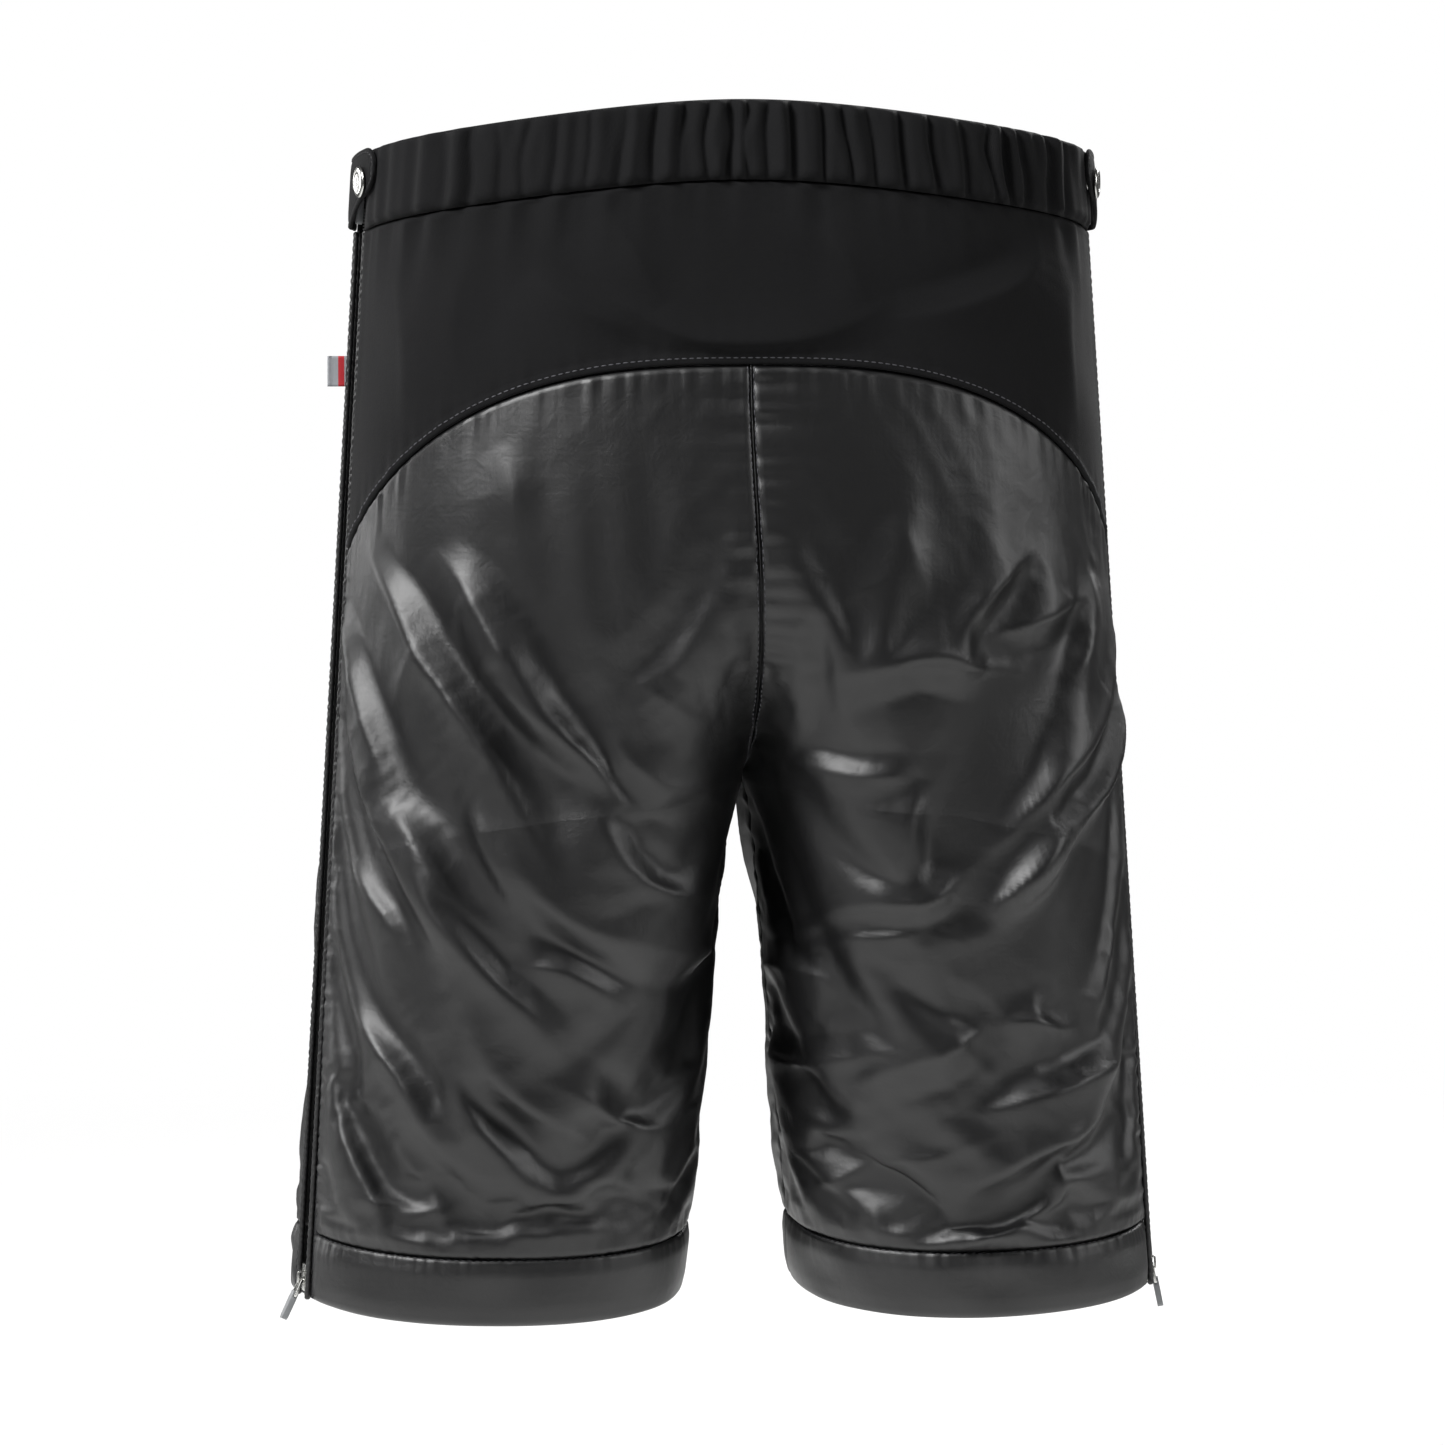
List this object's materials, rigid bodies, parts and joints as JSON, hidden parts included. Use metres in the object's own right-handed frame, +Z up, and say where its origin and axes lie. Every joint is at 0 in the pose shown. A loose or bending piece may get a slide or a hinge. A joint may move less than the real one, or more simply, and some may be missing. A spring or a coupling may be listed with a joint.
{
  "type": "padded over-shorts",
  "caption": "Insulated over-shorts with elastic waist, side waist tabs with snaps, and a full-length two-way zip down each side.",
  "frame": {"origin": "middle of the waist opening, level with the top edge of the back waistband", "axes": "+Z up out of the waist, +Y towards the back, +X towards the wearer's left"},
  "size_m": [0.4025, 0.2312, 0.5464],
  "materials": {
    "nylon_shell": "satin",
    "wadding": "matte",
    "lining": "satin",
    "softshell": "matte",
    "elastic": "matte",
    "zip_tape": "matte",
    "zip_coil": "satin",
    "nickel": "polished",
    "pull_grip": "matte",
    "woven_tag": "matte"
  },
  "bodies": {
    "shorts": {"back_left_shell": "nylon_shell", "back_left_wadding": "wadding", "back_left_lining": "lining", "back_left_hem": "nylon_shell", "front_left_shell": "nylon_shell", "front_left_wadding": "wadding", "front_left_lining": "lining", "front_left_hem": "nylon_shell", "back_right_shell": "nylon_shell", "back_right_wadding": "wadding", "back_right_lining": "lining", "back_right_hem": "nylon_shell", "front_right_shell": "nylon_shell", "front_right_wadding": "wadding", "front_right_lining": "lining", "front_right_hem": "nylon_shell", "back_yoke": "softshell", "back_waistband": "softshell", "front_waistband": "softshell", "waist_elastic": "elastic", "zip_tape_back_left": "zip_tape", "zip_coil_back_left": "zip_coil", "piping_back_left": "nylon_shell", "zip_tape_front_left": "zip_tape", "zip_coil_front_left": "zip_coil", "piping_front_left": "nylon_shell", "zip_flap_left": "lining", "zip_stop_left": "nickel", "snap_stud_left": "nickel", "snap_washer_left": "nickel", "zip_tape_back_right": "zip_tape", "zip_coil_back_right": "zip_coil", "piping_back_right": "nylon_shell", "zip_tape_front_right": "zip_tape", "zip_coil_front_right": "zip_coil", "piping_front_right": "nylon_shell", "zip_flap_right": "lining", "zip_stop_right": "nickel", "snap_stud_right": "nickel", "snap_washer_right": "nickel", "side_tag": "woven_tag"},
    "tab_left": {"waist_tab_left": "softshell", "snap_cap_left": "nickel", "snap_socket_left": "nickel"},
    "bottom_slider_left": {"bottom_slider_left_body": "nickel"},
    "bottom_pull_left": {"bottom_slider_left_link": "nickel", "bottom_slider_left_grip": "pull_grip"},
    "top_slider_left": {"top_slider_left_body": "nickel", "top_slider_left_link": "nickel", "top_slider_left_grip": "pull_grip"},
    "tab_right": {"waist_tab_right": "softshell", "snap_cap_right": "nickel", "snap_socket_right": "nickel"},
    "bottom_slider_right": {"bottom_slider_right_body": "nickel"},
    "bottom_pull_right": {"bottom_slider_right_link": "nickel", "bottom_slider_right_grip": "pull_grip"},
    "top_slider_right": {"top_slider_right_body": "nickel", "top_slider_right_link": "nickel", "top_slider_right_grip": "pull_grip"}
  },
  "joints": [
    {"name": "tab_left_hinge", "type": "hinge", "parent": "shorts", "child": "tab_left", "pos_m": [0.1663, -0.00039, -0.04118], "axis": [0.0626, 0.0391, -0.9973], "range_deg": [0, 120]},
    {"name": "bottom_slider_left_slide", "type": "slide", "parent": "shorts", "child": "bottom_slider_left", "axis": [-0.0608, -0.0387, 0.9974], "range_m": [0, 0.23]},
    {"name": "bottom_pull_left_swing", "type": "hinge", "parent": "bottom_slider_left", "child": "bottom_pull_left", "pos_m": [0.19378, 0.03156, -0.52688], "axis": [0.1736, -0.9844, -0.0276], "range_deg": [0, 148]},
    {"name": "top_slider_left_slide", "type": "slide", "parent": "shorts", "child": "top_slider_left", "axis": [0.0608, 0.0387, -0.9974], "range_m": [0, 0.215]},
    {"name": "tab_right_hinge", "type": "hinge", "parent": "shorts", "child": "tab_right", "pos_m": [-0.1663, -0.00039, -0.04118], "axis": [0.0626, -0.0391, 0.9973], "range_deg": [0, 120]},
    {"name": "bottom_slider_right_slide", "type": "slide", "parent": "shorts", "child": "bottom_slider_right", "axis": [0.0608, -0.0387, 0.9974], "range_m": [0, 0.23]},
    {"name": "bottom_pull_right_swing", "type": "hinge", "parent": "bottom_slider_right", "child": "bottom_pull_right", "pos_m": [-0.19378, 0.03156, -0.52688], "axis": [0.1736, 0.9844, 0.0276], "range_deg": [0, 162]},
    {"name": "top_slider_right_slide", "type": "slide", "parent": "shorts", "child": "top_slider_right", "axis": [-0.0608, 0.0387, -0.9974], "range_m": [0, 0.215]}
  ]
}
